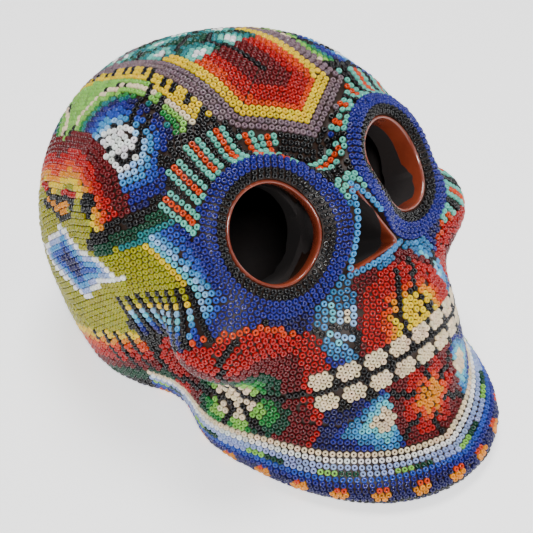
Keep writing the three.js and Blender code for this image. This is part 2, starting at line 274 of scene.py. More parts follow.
def melt(a, b, width):
    """The nearer of two surfaces, rounded where they meet."""
    h = np.maximum(width - np.abs(a - b), 0) / width
    return np.minimum(a, b) - h * h * width / 4


def eye_axis(side):
    """The direction that an eye opening faces; side is 1 for the left eye and -1 for the right."""
    flat = math.cos(EYE_UPWARD)
    return np.array([
        side * math.sin(EYE_OUTWARD) * flat,
        -math.cos(EYE_OUTWARD) * flat,
        math.sin(EYE_UPWARD),
    ])


def eye_frame(which):
    """One eye's centre, its axis, and its directions across and up."""
    axis = eye_axis(which)
    across = unit(np.cross(axis, [0, 0, 1.0]))
    up = np.cross(across, axis)
    centre = EYE_AT * [which, 1, 1]
    return centre, axis, across, up


def eye_spokes(which, count, extra=0.0):
    """One eye's centre and axis, and the spokes from the centre to its opening's edge."""
    centre, axis, across, up = eye_frame(which)
    turn = np.linspace(0, 2 * np.pi, count, endpoint=False)
    spoke = np.cos(turn)[:, None] * across * (EYE_WIDE + extra) \
        + np.sin(turn)[:, None] * up * (EYE_TALL + extra)
    return centre, axis, spoke


def table_height(points):
    """Height over the table of points in the skull's own millimetres."""
    return EYE_HEIGHT - points[..., 1] * math.sin(LEAN_BACK) + points[..., 2] * math.cos(LEAN_BACK)


def table_back(points):
    """How far back along the table points lie, from the eyes."""
    return points[..., 1] * math.cos(LEAN_BACK) + points[..., 2] * math.sin(LEAN_BACK)


def from_table(across, back, height):
    """A place over the table, in the skull's own millimetres."""
    rise = height - EYE_HEIGHT
    return np.array([
        across,
        back * math.cos(LEAN_BACK) - rise * math.sin(LEAN_BACK),
        back * math.sin(LEAN_BACK) + rise * math.cos(LEAN_BACK),
    ])


def to_left(points):
    """Points with those on the right brought over to the left."""
    folded = points.copy()
    folded[..., 0] = np.abs(folded[..., 0])
    return folded


def distance(points):
    """Signed distance, near enough, from the beads' tops: negative inside."""
    folded = to_left(points)
    result = np.full(points.shape[:-1], 1e3)
    for at, radii, blend in MASSES:
        result = melt(result, ellipsoid(folded, at, radii), blend)
    offset = folded - EYE_AT
    axis = eye_axis(1)
    along = offset @ axis
    across = np.linalg.norm(offset - along[..., None] * axis, axis=-1)
    ring = np.hypot(across - EYE_RING_RADIUS, along) - EYE_RING_TUBE
    disc = np.hypot(np.maximum(across - EYE_RING_RADIUS, 0), along) - EYE_DISC
    result = melt(result, np.minimum(ring, disc), EYE_BLEND)
    a = points[..., 0] / RIM_WIDE
    b = (table_back(points) - RIM_BACK) / RIM_LONG
    size = np.hypot(a, b)
    slope = np.hypot(a / RIM_WIDE, b / RIM_LONG) + TINY
    outside = np.maximum(size * (size - 1) / slope, 0)
    rim = np.hypot(outside, table_height(points) - RIM_UP) - RIM_TUBE
    result = melt(result, rim, RIM_BLEND)
    return -melt(-result, table_height(points), FOOT_ROUNDING)


def gradient(points):
    """The direction in which the distance grows fastest."""
    step = 0.05
    parts = []
    for axis in range(3):
        nudge = np.zeros(3)
        nudge[axis] = step
        parts.append(distance(points + nudge) - distance(points - nudge))
    return np.stack(parts, -1) / (2 * step)


def settle(points, level=0.0, steps=3):
    """Bring points onto the surface, or onto a level below it."""
    for _ in range(steps):
        slope = gradient(points)
        size = np.maximum((slope * slope).sum(-1), 0.05)
        points = points - slope * ((distance(points) - level) / size)[..., None]
    return points


def march(start, direction, travel):
    """Slide points on from their travel so far until they meet the surface."""
    for _ in range(MARCH_STEPS):
        gap = distance(start + direction * travel[:, None])
        travel = travel + np.clip(gap, *MARCH_LIMITS) * MARCH_SHARE
    return start + direction * travel[:, None]


def cast(points, direction, reach=0.0):
    """Slide points along a direction onto the surface, starting a reach behind them."""
    return march(points, np.array(direction, float), np.full(len(points), -reach))


def walk(points, heading, step):
    """Step along the surface in the given headings."""
    normal = unit(gradient(points))
    heading = heading - (heading * normal).sum(-1, keepdims=True) * normal
    return settle(points + unit(heading) * step, steps=2)


# ------------------------------------------------------------------ charts for the patterns
def cranial(points):
    """Arc lengths over the dome: sideways, and from the brow back over the crown."""
    offset = points - CRANIUM
    up = offset[..., 2]
    ahead = -offset[..., 1]
    sideways = CRANIUM_RADIUS * np.arctan2(offset[..., 0], np.hypot(up, ahead))
    back = CRANIUM_RADIUS * np.arctan2(up, ahead)
    return np.stack([sideways, back], -1)


def place_on_dome(sideways, back):
    """The surface point at a pair of arc lengths over the dome."""
    lateral = np.asarray(sideways) / CRANIUM_RADIUS
    pitch = np.asarray(back) / CRANIUM_RADIUS
    ray = np.stack([
        np.sin(lateral),
        -np.cos(lateral) * np.cos(pitch),
        np.cos(lateral) * np.sin(pitch),
    ], -1)
    outside = CRANIUM + ray * 90
    return cast(outside, -ray)


def front(points):
    """The view from the front."""
    return points[..., [0, 2]]


def side(points):
    """The view from the side."""
    return points[..., [1, 2]]


def segment_distance(flat, start, end):
    """Distance from a straight line between two points."""
    start = np.array(start, float)
    along = np.array(end, float) - start
    share = np.clip(((flat - start) @ along) / (along @ along), 0, 1)
    return np.linalg.norm(flat - start - share[..., None] * along, axis=-1)


def line_distance(flat, points):
    """Distance from a line through several points."""
    pairs = zip(points[:-1], points[1:])
    return np.min([segment_distance(flat, a, b) for a, b in pairs], axis=0)


def inside(flat, polygon):
    """Depth inside a polygon: positive within, negative outside."""
    edge = line_distance(flat, list(polygon) + [polygon[0]])
    within = np.zeros(flat.shape[:-1], bool)
    for (x1, y1), (x2, y2) in zip(polygon, list(polygon[1:]) + [polygon[0]]):
        crosses = (y1 > flat[..., 1]) != (y2 > flat[..., 1])
        at = (x2 - x1) * (flat[..., 1] - y1) / ((y2 - y1) or TINY) + x1
        within ^= crosses & (flat[..., 0] < at)
    return np.where(within, edge, -edge)


def mirrored(values, about):
    """Fold everything beyond a line back over it, so a pattern repeats in reverse behind it."""
    return np.where(values > about, 2 * about - values, values)


def line_at(values, corners):
    """The height of a line through corners, read off at given values."""
    return np.interp(values, *zip(*corners))


def ramp(values, stops):
    """Colour codes by value: each stop is the value up to which its colour runs."""
    codes = np.full(values.shape, CODE[stops[-1][1]])
    for limit, name in reversed(stops[:-1]):
        codes = np.where(values < limit, CODE[name], codes)
    return codes


# ------------------------------------------------------------------ laid rows
class Rows:
    """Beads with a fixed place. A later bead is dropped where an earlier one already sits."""

    def __init__(self):
        """Start with no beads."""
        self.points = []
        self.codes = []

    def add(self, points, codes, gap=LAID_GAP):
        """Add a row, bead by bead, with the gap in pitches that each needs."""
        codes = np.broadcast_to(codes, len(points))
        taken = np.array(self.points).reshape(-1, 3)
        for point, code in zip(points, codes):
            if len(taken):
                near = np.min(((taken - point) ** 2).sum(1))
                if near < (gap * PITCH) ** 2:
                    continue
            taken = np.vstack([taken, point])
            self.points.append(point)
            self.codes.append(int(code))


def spaced(curve, pitch=PITCH, closed=True, shift=0.0):
    """Points at an even pitch along a curve on the surface."""
    if closed:
        curve = np.vstack([curve, curve[:1]])
    lengths = np.r_[0, np.cumsum(np.linalg.norm(np.diff(curve, axis=0), axis=1))]
    count = max(int(round(lengths[-1] / pitch)), 1)
    if closed:
        where = (np.arange(count) + shift) % count * lengths[-1] / count
    else:
        where = np.linspace(0, lengths[-1], count + 1)
    return settle(np.stack([np.interp(where, lengths, curve[:, k]) for k in range(3)], -1))


def eye_rings(which):
    """Bead rows round one eye, from its edge outwards, and last the curve outside them."""
    centre, axis, spoke = eye_spokes(which, 144)
    edge = centre + spoke * (1 + (0.9 + BEAD_RADIUS) / EYE_MEAN)
    curve = cast(edge, -axis, 30.0)
    for index, name in enumerate(EYE_ROWS):
        yield spaced(curve, shift=0.5 * (index % 2)), name
        curve = walk(curve, unit(spoke), ROW)
    yield curve, None


def lay_eyes(rows):
    """The bead rows round both eyes; returns the curve outside each."""
    outer = {}
    for which in (-1, 1):
        for points, name in eye_rings(which):
            if name is None:
                outer[which] = points
            else:
                rows.add(points, CODE[name])
    return outer


def lay_rays(rows, outer, keep):
    """Rays round the brows: an orange column closed in by turquoise, black between the rays."""
    for which in (-1, 1):
        centre = eye_frame(which)[0]
        loop = np.vstack([outer[which], outer[which][:1]])
        first, between, count, lean = RAYS[which]
        turns = np.linspace(0, 360, len(loop))
        for half in range(2 * count - 1):
            turn = first + half * between / 2
            point = settle(np.array([[np.interp(turn, turns, loop[:, k]) for k in range(3)]]))
            heading = unit(point - centre) * (1 - lean) + RAY_LEAN * lean
            column = []
            for _ in range(RAY_LENGTH):
                column.append(point[0])
                point = walk(point, heading, PITCH * 0.97)
            column = np.array(column)
            if half % 2:
                good = keep(column)
                rows.add(column[good], CODE["black"])
                continue
            sideways = unit(np.cross(gradient(column), np.gradient(column, axis=0)))
            for shift in (0, -1, 1):
                points = settle(column + shift * PITCH * sideways)
                codes = np.full(RAY_LENGTH, CODE["turquoise"])
                if shift == 0:
                    codes[1:] = CODE["orange"]
                good = keep(points)
                rows.add(points[good], codes[good])


def lay_comb(rows):
    """Combs over the cheekbones: black columns between columns that fade from yellow to navy."""
    start, end = np.array(COMB_TOP)
    line = start + np.linspace(0, 1, 60)[:, None] * (end - start)
    for which in (-1, 1):
        top = cast(np.c_[np.full(60, which * 90.0), line], (-which, 0, 0), 20.0)
        points = spaced(top, closed=False)
        fan = points[:, 1:] - np.array(COMB_SOURCE)
        heading = unit(np.c_[np.zeros(len(fan)), fan])
        for name in COMB_COLOURS:
            codes = np.full(len(points), CODE[name])
            codes[::2] = CODE["black"]
            clear = points[:, 2] > -21.5
            rows.add(points[clear], codes[clear])
            points = walk(points, heading, PITCH * 0.98)


def lay_nose(rows):
    """One row right round the nose opening and a second under it."""
    corners = np.array([[x, -30.0, z] for x, z in NOSE_CORNERS])
    middle = corners.mean(0)
    grown = middle + (corners - middle) * 1.16
    curve = []
    for start, end in zip(grown, np.roll(grown, -1, axis=0)):
        share = np.linspace(0, 1, 20, endpoint=False)[:, None]
        curve.append(start + (end - start) * share)
    curve = cast(np.vstack(curve), (0, 1, 0))
    heading = unit((curve - curve.mean(0)) * [1, 0, 1])
    points = spaced(curve)
    rows.add(points, CODE["sky"], FREE_GAP)
    second = spaced(walk(curve, heading, ROW), shift=0.5)
    rows.add(second[second[:, 2] < -14], CODE["steel"], FREE_GAP)


def along_level(point, height, direction, steps, stride):
    """Points stepped round the face at one height, the start first."""
    path = [point[0]]
    for _ in range(steps):
        normal = unit(gradient(point))
        point = walk(point, np.cross([0, 0, 1.0], normal) * direction, stride)
        point[:, 2] = height
        point = settle(point)
        path.append(point[0])
    return np.array(path)


def lay_teeth(rows):
    """Two rows of cream rosettes, each three, four and three beads, and black between the rows."""
    pitch = 2.05
    for height in (UPPER_TEETH, LOWER_TEETH):
        for direction in (-1, 1):
            point = cast(np.array([[0.8, -60.0, height]]), (0, 1, 0))
            for tooth in range(5):
                if tooth > 0 or direction < 0:
                    normal = unit(gradient(point))[0]
                    tangent = unit(np.cross([0, 0, 1.0], normal))
                    up = np.cross(normal, tangent)
                    for level, count in TOOTH:
                        shift = (np.arange(count) - (count - 1) / 2) * pitch
                        beads = point + shift[:, None] * tangent + up * level * pitch * 0.87
                        rows.add(settle(beads), CODE["cream"])
                point = along_level(point, height, direction, 5, TOOTH_STEP / 5)[-1:]
    arms = []
    for direction in (-1, 1):
        start = cast(np.array([[0.8, -60.0, BITE]]), (0, 1, 0))
        arms.append(along_level(start, BITE, direction, 37, 1.0))
    whole = np.vstack([arms[0][::-1], arms[1][1:]])
    rows.add(spaced(whole, closed=False), CODE["black"])


def band_curve(height_at):
    """A curve round the jaw, from one side of its back to the other, at given table heights."""
    angles = np.radians(np.arange(-128, 128.1, 2))
    heights = np.interp(np.degrees(np.abs(angles)), *zip(*height_at))
    middle_back = -2.0
    result = []
    for angle, height in zip(angles, heights):
        heading = np.array([math.sin(angle), -math.cos(angle)])
        near, far = 0.0, 120.0
        for _ in range(30):
            centre = (near + far) / 2
            across = heading[0] * centre
            back = middle_back + heading[1] * centre
            point = from_table(across, back, height)
            if distance(point[None])[0] < 0:
                near = centre
            else:
                far = centre
        result.append(point)
    return np.array(result)


def lay_band(rows):
    """The rows round the jaw; returns where the small flowers sit."""
    curve = band_curve(BAND_TOP)
    down = np.array([0, math.sin(LEAN_BACK), -math.cos(LEAN_BACK)])
    flowers = []
    for index, name in enumerate(BAND_ROWS):
        points = spaced(curve, closed=False)
        if index % 2:
            points = (points[:-1] + points[1:]) / 2
            points = settle(points)
        order = np.arange(len(points)) - len(points) // 2
        if name == "dashes":
            beat = order % 11
            codes = np.where(beat < 3, CODE["light_green"], CODE["lavender"])
            codes = np.where((beat >= 3) & (beat < 6), CODE["dark_green"], codes)
        elif name == "flowers":
            codes = np.full(len(points), CODE["navy"])
            flowers = [points[i] for i in range(len(points)) if order[i] % 6 == 3]
        else:
            codes = np.full(len(points), CODE[name])
        keep = table_height(points) > 0.9
        rows.add(points[keep], codes[keep])
        curve = walk(curve, np.broadcast_to(down, curve.shape), ROW)
    return np.array(flowers)


def shield_keep(points):
    """True where a ray may run: clear of the shield's border."""
    return (inside(cranial(points), SHIELD) < -5.0) & (points[:, 2] > -24)


def lay_outline(rows, polygon, name, outset, limit):
    """A row of beads that keeps its distance from a polygon on the dome, up to a limit."""
    middle = np.mean(polygon, axis=0)
    corners = []
    count = len(polygon)
    for index in range(count):
        before = np.array(polygon[index - 1], float)
        here = np.array(polygon[index], float)
        after = np.array(polygon[(index + 1) % count], float)
        first = unit(here - before)
        second = unit(after - here)
        normal1 = np.array([first[1], -first[0]])
        normal2 = np.array([second[1], -second[0]])
        if (here - middle) @ normal1 < 0:
            normal1, normal2 = -normal1, -normal2
        mitre = unit(normal1 + normal2)
        corners.append(here + mitre * outset / max(mitre @ normal1, 0.4))
    path = []
    for start, end in zip(corners, corners[1:] + corners[:1]):
        share = np.linspace(0, 1, 24, endpoint=False)[:, None]
        path.append(start + (end - start) * share)
    path = np.vstack(path)
    points = spaced(place_on_dome(path[:, 0], path[:, 1]))
    rows.add(points[cranial(points)[:, 1] < limit], CODE[name], 0.84)


# ------------------------------------------------------------------ filling the rest
def tree_of(points):
    """A search tree over points."""
    tree = kdtree.KDTree(len(points))
    for index, point in enumerate(points):
        tree.insert(point, index)
    tree.balance()
    return tree


def nearest(points, others, count):
    """For each point, which of the others are nearest."""
    tree = tree_of(others)
    table = np.empty((len(points), count), int)
    for row, point in enumerate(points):
        table[row] = [item[1] for item in tree.find_n(point, count)]
    return table


def in_opening(points, extra=OPENING_CLEARANCE):
    """True over the open eyes and nose."""
    result = np.zeros(len(points), bool)
    for which in (-1, 1):
        centre, axis, across, up = eye_frame(which)
        offset = points - centre
        wide = (offset @ across) / (EYE_WIDE + extra)
        tall = (offset @ up) / (EYE_TALL + extra)
        result |= (np.hypot(wide, tall) < 1) & (offset @ axis > -25)
    depth = inside(front(points), NOSE_CORNERS)
    result |= (depth > -extra) & (points[:, 1] < 12)
    return result


class Packing:
    """The beads placed so far, sorted into cells one pitch wide."""

    def __init__(self, points):
        """Start with the beads at some points."""
        self.points = []
        self.cells = {}
        for point in points:
            self.add(point)

    def add(self, point):
        """Put a bead into its cell."""
        cell = tuple(int(math.floor(value / PITCH)) for value in point)
        self.cells.setdefault(cell, []).append(len(self.points))
        self.points.append(tuple(point))

    def crowded(self, point, gap):
        """True when a bead sits nearer than the gap, which is at most one pitch."""
        x, y, z = (int(math.floor(value / PITCH)) for value in point)
        for i in (x - 1, x, x + 1):
            for j in (y - 1, y, y + 1):
                for k in (z - 1, z, z + 1):
                    for index in self.cells.get((i, j, k), ()):
                        if math.dist(self.points[index], point) < gap:
                            return True
        return False


def grow(packing):
    """Set beads against pairs of neighbours, row after row, until the rows meet."""
    front = list(range(len(packing.points)))
    while front:
        places = np.array(packing.points)
        tree = tree_of(places)
        newest = set(front)
        pairs = []
        for here in front:
            for _, other, gap in tree.find_range(places[here], PAIR_GAPS[1] * PITCH):
                if gap > PAIR_GAPS[0] * PITCH and (other < here or other not in newest):
                    pairs.append((here, other))
        if not pairs:
            break
        first, second = places[np.array(pairs).T]
        middle = (first + second) / 2
        along = second - first
        half = np.linalg.norm(along, axis=1) / 2
        rise = np.sqrt(np.maximum(PITCH ** 2 - half ** 2, 0))[:, None]
        sideways = unit(np.cross(gradient(middle), along)) * rise
        spots = settle(np.stack([middle + sideways, middle - sideways], 1).reshape(-1, 3), steps=2)
        spots = spots[~in_opening(spots)]
        front = []
        for spot in spots.tolist():
            if not packing.crowded(spot, GROWN_GAP * PITCH):
                front.append(len(packing.points))
                packing.add(spot)


def cloud():
    """A dense scatter of points over the whole surface, hollows included."""
    axes = [np.arange(low, high, CLOUD_STEP) for low, high in CLOUD_BOX]
    grid = np.stack(np.meshgrid(*axes, indexing="ij"), -1).reshape(-1, 3)
    grid = grid[np.abs(distance(grid)) < CLOUD_STEP]
    grid = grid + RANDOM.uniform(-0.5, 0.5, grid.shape) * CLOUD_STEP
    return RANDOM.permutation(settle(grid, steps=4))


def fill(rows):
    """Spread free beads over what the laid rows leave, in rows that follow them."""
    fixed = np.array(rows.points)
    packing = Packing(fixed)
    grow(packing)
    spots = cloud()
    for spot in spots[~in_opening(spots)].tolist():
        if not packing.crowded(spot, FREE_GAP * PITCH):
            packing.add(spot)
    points = np.array(packing.points[len(fixed):])
    reach = PITCH * PUSH_REACH
    for turn in range(PUSH_ROUNDS):
        everyone = np.vstack([fixed, points])
        if turn % PUSH_SEARCH == 0:
            table = nearest(points, everyone, PUSH_NEIGHBOURS + 1)[:, 1:]
        offset = points[:, None] - everyone[table]
        gap = np.linalg.norm(offset, axis=-1, keepdims=True) + 1e-6
        push = (offset / gap * np.maximum(reach - gap, 0)).sum(1)
        points = settle(points + push * PUSH_SHARE, steps=1 if turn < PUSH_ROUNDS - 1 else 4)
    everyone = np.vstack([fixed, points])
    gap = np.linalg.norm(points - everyone[nearest(points, everyone, 2)[:, 1]], axis=1)
    return points[~in_opening(points, LAST_CLEARANCE) & (gap > LEAST_GAP)]


# ------------------------------------------------------------------ the patterns
def put(codes, where, name):
    """Give one colour to the beads where a mask is true."""
    codes[where] = CODE[name]


def draw(codes, where, flat, lines):
    """Draw lines on the beads where a mask is true."""
    for corners, width, name in lines:
        put(codes, where & (line_distance(flat, corners) < width), name)


def flower(codes, points, centre, reach, petals, turn, stops, ray="black", bare=0.0):
    """A round flower: rings of colour, scalloped at the edge, with dark rays between petals."""
    centre = np.array(centre, float)
    normal = unit(gradient(centre[None]))[0]
    across = unit(np.cross([0, 0, 1.0], normal))
    up = np.cross(normal, across)
    offset = points - centre
    radius = np.linalg.norm(offset, axis=-1)
    angle = np.arctan2(offset @ up, offset @ across) - turn
    wave = np.cos(petals * angle)
    size = radius / (1 + 0.10 * (wave - 1))
    share = (angle * petals / (2 * np.pi) + 0.5) % 1 - 0.5
    from_ray = (0.5 - np.abs(share)) * 2 * np.pi / petals * radius
    facing = unit(gradient(points)) @ normal > -0.2
    within = (size < reach) & facing
    codes[within] = ramp(size, stops)[within]
    if ray:
        put(codes, within & (from_ray < 1.15) & (radius > bare), ray)


def arch_depth(flat):
    """Depth inside the rainbow arch, which repeats in reverse behind the ear."""
    middle_back, middle_up, half_length, height = ARCH
    wide = (mirrored(mirrored(flat[:, 0], PANEL_FOLD), ARCH_FOLD) - middle_back) / half_length
    tall = (flat[:, 1] - middle_up) / height
    size = np.hypot(wide, tall)
    slope = np.hypot(wide / half_length, tall / height) + 1e-6
    return -size * (size - 1) / slope


def paint_sides(codes, points):
    """Birds in rainbow arches on the temples, with bands and combs below them."""
    true_side = side(points)
    flat = true_side.copy()
    flat[:, 0] = mirrored(flat[:, 0], PANEL_FOLD)
    back, up = flat.T
    codes[:] = CODE["olive"]
    low = -up + 0.08 * (back - 60)
    tail = (back > 44) & (up < -14)
    codes[tail] = ramp(low, TAIL_STOPS)[tail]
    slant = back - 0.28 * (-up - 17)
    spoke = (np.abs((slant - 2.0) % 6.2 - 3.1) < 1.0) & (back > 50) & (back < 74)
    put(codes, tail & spoke & (low > 17) & (low < 36), "black")

    put(codes, (back > 12) & (back < 50) & (up < -13) & (up > -26), "black")

    edge = np.interp(up, (-6, 17), (10.5, 22.5))
    ahead = edge - back
    blue = (ahead > -2.0) & (up < 19) & (up > -26) & (true_side[:, 0] < 40)
    codes[blue] = ramp(ahead + 2.0 + np.maximum(-up - 8, 0) * 0.6, FRONT_STOPS)[blue]

    deep = inside(flat, WING)
    codes[deep > 0] = ramp(deep, WING_STOPS)[deep > 0]
    depth = arch_depth(true_side)
    arch = (depth > 0) & (up > 15.5 + 0.12 * (22 - back)) & ((deep < 0) | (depth < 14))
    codes[arch] = ramp(depth, ARCH_STOPS)[arch]

    draw(codes, True, flat, BIRD_LINES)
    eye = np.linalg.norm((flat - np.array([38.5, 28.0])) * [0.85, 1], axis=-1)
    put(codes, eye < 3.6, "black")


def paint_beaks(codes, points):
    """The birds' long beaks, which run forward to the rays over the eyes."""
    draw(codes, np.abs(points[:, 0]) > 30, side(points), BEAK_LINES)


def paint_dome(codes, points):
    """The forehead shield, the star field behind it and the stepped fields at its sides."""
    flat = cranial(points)
    flat[:, 1] = mirrored(flat[:, 1], CROWN_MIDDLE)
    across, back = flat.T
    wide = np.abs(across)
    dome = (points[:, 2] > 21) & ((arch_depth(side(points)) < 0) | (wide < 30)) & (back > 19)

    beside = wide - DIAMOND_AT[0]
    lateral = np.where(beside < 0, -beside * 1.64, beside * 1.1)
    reach = np.hypot(lateral, (back - DIAMOND_AT[1]) * 0.77)
    codes[dome] = ramp(reach, DIAMOND_STOPS)[dome]
    spots = (reach > 29.5) & (reach < 31.8) & (np.abs((across + back) % 4.4 - 2.2) < 1.0)
    put(codes, dome & spots & (wide > 26), "black")

    folded = to_left(points)
    for spot in DIAMOND_SPOTS:
        away = np.linalg.norm(folded - np.array(spot), axis=-1)
        put(codes, dome & (away < 1.5), "black")
    folded_back = mirrored(points[:, 1], CRANIUM[1])
    for depth, near, far in ((24.6, 21, 48), (30.0, 19, 41)):
        line = (np.abs(folded_back - depth) < 1.0) & (folded[:, 0] > near)
        put(codes, dome & line & (folded[:, 0] < far), "black")

    steps = dome & (wide < 25.5)
    put(codes, steps & (wide < 24.4), "yellow")
    bars = ((back + 0.55 * wide) % 5.6 < 2.1) & (wide < 23.2) & (wide > 18.5)
    put(codes, steps & bars, "black")
    put(codes, dome & (wide < 19.2), "mauve")

    stars = dome & (wide < 15.6) & (back > 55)
    put(codes, stars, "dark_green")
    put(codes, stars & ((across * 0.7 + back) % 6.6 < 2.2), "teal")
    put(codes, stars & ((back - across * 0.7) % 8.8 < 2.0), "black")
    for at in STARS:
        away = np.hypot(wide - at[0], back - at[1])
        for size, name in STAR_RINGS:
            put(codes, stars & (away < size), name)

    deep = inside(flat, SHIELD)
    shield = dome & (deep > 0) & (back < np.where(deep < 4.2, 66, 55.5))
    codes[shield] = ramp(deep, SHIELD_STOPS)[shield]
    put(codes, dome & (deep < 0) & (deep > -4.7), "mauve")
    rays = dome & (deep < -4.7) & (back < 36 + 0.2 * wide) & (wide < 39) & (points[:, 2] < 41)
    put(codes, rays & (brow_distance(points) < 13.5), "black")
    line = segment_distance(flat, (4.5, 41.5), (0.5, 62))
    put(codes, dome & (line < 1.1), "black")


def brow_distance(points):
    """How far points lie outside the nearer eye's bead rows."""
    folded = to_left(points)
    offset = folded - EYE_AT
    along = offset @ eye_axis(1)
    return np.linalg.norm(offset - along[:, None] * eye_axis(1), axis=-1) - 25.0


def paint_face(codes, points):
    """The lower face: blue steps under the eyes, the lip sun and the chin."""
    across, back, up = points.T
    wide = np.abs(across)
    flat = front(points)
    folded = np.stack([wide, up], -1)

    face = (back < 16) & (wide < 44) & (up < -14)
    put(codes, face, "navy")
    put(codes, face & (wide > 30) & (np.abs(up + 19.5 + (wide - 44) * 0.25) < 1.2), "black")
    beside = face & (up < -20) & (up > -42) & (wide < 34)
    codes[beside] = ramp(line_distance(folded, HINGE), HINGE_STOPS)[beside]
    put(codes, beside & (line_distance(folded, HINGE_EDGE) < 1.0), "black")
    nostril = (back < 10) & (wide < 20) & (up > -26) & (up < 8)
    put(codes, nostril, "steel")
    between = (back < 24) & (wide < 18) & (up >= 4) & (up < 27)
    put(codes, between, "black")
    put(codes, (back < 4) & (wide < 9) & (up > 3) & (up < 9.5), "turquoise")

    lip = face & (inside(flat, LIP) > 0) & (up > -42.5)
    size = np.hypot((across - 2) / 11.0, (up + 40) / 9.4)
    codes[lip] = ramp(size, LIP_STOPS)[lip]
    draw(codes, lip, flat, LIP_LINES)
    for spot in LIP_SPOTS:
        put(codes, lip & (np.linalg.norm(flat - np.array(spot), axis=-1) < 1.5), "black")

    chin = (back < 22) & (up < -53)
    offset = folded - np.array(TRIANGLE_AT)
    size = np.abs(offset[:, 0]) + np.abs(offset[:, 1]) * np.where(offset[:, 1] > 0, 1.5, 1.0)
    codes[chin] = ramp(size, TRIANGLE_STOPS)[chin]
    put(codes, face & (wide < 35) & (up < -40.8) & (up > -55.3), "black")


def paint_flowers(codes, points):
    """The flowers on the cheeks, the chin and the back of the head."""
    across, back, up = points.T
    wide = np.abs(across)
    beyond_face = (wide > line_at(up, CHEEK_EDGE)) | (back > 12)
    under_comb = up < -17.5 - 0.12 * np.maximum(back - 8, 0)
    for which in (-1, 1):
        before = codes.copy()
        at = settle(np.array([[which * 46.5, 22.0, -43.5]]))[0]
        flower(codes, points, at, 44, 6, 0.35 * -which, CHEEK_STOPS, bare=2.6)
        rear = np.linalg.norm(points - at, axis=-1) > np.where(back > 34, 31, 44)
        outside = ~beyond_face | ~under_comb | (across * which < 0) | rear
        codes[outside] = before[outside]
        rim = line_distance(np.stack([wide, up], -1), CHEEK_RIM) < 1.25
        put(codes, rim & (back < 14) & (across * which > 0), "orange")
    at = cast(np.array([[-1.0, -50.0, -66.0]]), (0, 1, 0))[0]
    before = codes.copy()
    flower(codes, points, at, 30, 6, math.radians(60), CHIN_STOPS, bare=6.4)
    spill = (across < line_at(up, CHIN_LEFT)) | (across > line_at(up, CHIN_RIGHT)) | (up > -54.5)
    codes[spill] = before[spill]
    at = settle(np.array([BACK_FLOWER]))[0]
    flower(codes, points, at, 23, 8, 0.2, BACK_STOPS, bare=4.0)


def paint_back(codes, points):
    """Round the flower at the back of the head: stepped blues."""
    away = np.linalg.norm(points - np.array(BACK_FLOWER), axis=-1)
    ground = (points[:, 1] > 104) & (points[:, 2] < 24) & (away < 44)
    codes[ground] = ramp(away, GROUND_STOPS)[ground]


def paint(points):
    """Colour codes for the beads that the rows leave free."""
    codes = np.zeros(len(points), int)
    paint_sides(codes, points)
    paint_back(codes, points)
    paint_dome(codes, points)
    paint_beaks(codes, points)
    paint_face(codes, points)
    paint_flowers(codes, points)
    across, back, up = points.T
    from_brow = brow_distance(points)
    left_cheek = (across > 38) & (back < 16) & (up > -23) & (up < 20)
    put(codes, left_cheek & (from_brow < 14.5), "black")
    put(codes, (back < 16) & (from_brow < -0.8) & (np.abs(across) > 8), "blue")
    put(codes, table_height(points) < 1.6, "navy")
    return codes


# ------------------------------------------------------------------ meshes
def to_frame(points):
    """Skull millimetres to the frame's metres."""
    back = table_back(points) - EYE_FORWARD
    return np.stack([points[..., 0], back, table_height(points)], -1) / 1000


def store(items, key, values, kind=np.float32):
    """Write one value for every item of a mesh."""
    items.foreach_set(key, np.asarray(values).astype(kind).ravel())


def add_object(name, data):
    """A new object in the scene."""
    thing = bpy.data.objects.new(name, data)
    bpy.context.collection.objects.link(thing)
    return thing


def bead_mesh(name, points, normals, colours, sizes, tilts):
    """One mesh of many closed bead rings."""
    turn = np.arange(BEAD_SIDES) * 2 * np.pi / BEAD_SIDES
    profile = np.array(BEAD_PROFILE)
    rings = len(profile)
    local = np.stack([
        np.cos(turn)[:, None] * profile[:, 0],
        np.sin(turn)[:, None] * profile[:, 0],
        np.broadcast_to(profile[:, 1], (BEAD_SIDES, rings)),
    ], -1).reshape(-1, 3)
    axis = unit(normals + tilts)
    helper = np.where(np.abs(axis[:, 2:3]) < 0.8, [[0, 0, 1.0]], [[1.0, 0, 0]])
    first = unit(np.cross(helper, axis))
    second = np.cross(axis, first)
    centre = points - normals * BEAD_HEIGHT / 2
    flat = local[None, :, :2] * sizes[:, None, :1]
    tall = local[None, :, 2] * sizes[:, None, 1]
    vertices = centre[:, None] + flat[..., :1] * first[:, None] + flat[..., 1:] * second[:, None] \
        + tall[..., None] * axis[:, None]
    step = np.arange(BEAD_SIDES)
    after = (step + 1) % BEAD_SIDES
    ring = np.arange(rings)
    above = (ring + 1) % rings
    quads = np.stack([
        step[:, None] * rings + ring, after[:, None] * rings + ring,
        after[:, None] * rings + above, step[:, None] * rings + above,
    ], -1).reshape(-1, 4)
    quads = quads[:, ::-1]
    count = len(points)
    faces = (np.arange(count)[:, None, None] * BEAD_SIDES * rings + quads).reshape(-1, 4)
    mesh = bpy.data.meshes.new(name)
    mesh.vertices.add(count * BEAD_SIDES * rings)
    store(mesh.vertices, "co", to_frame(vertices))
    mesh.loops.add(faces.size)
    store(mesh.loops, "vertex_index", faces, np.int32)
    mesh.polygons.add(len(faces))
    store(mesh.polygons, "loop_start", np.arange(len(faces)) * 4, np.int32)
    store(mesh.polygons, "use_smooth", np.ones(len(faces)), bool)
    mesh.update(calc_edges=True)
    tint = mesh.attributes.new("bead_colour", "FLOAT_COLOR", "POINT")
    store(tint.data, "color", np.repeat(np.c_[colours, np.ones(count)], BEAD_SIDES * rings, axis=0))
    lay_out(mesh, count, len(quads))
    return add_object(name, mesh)


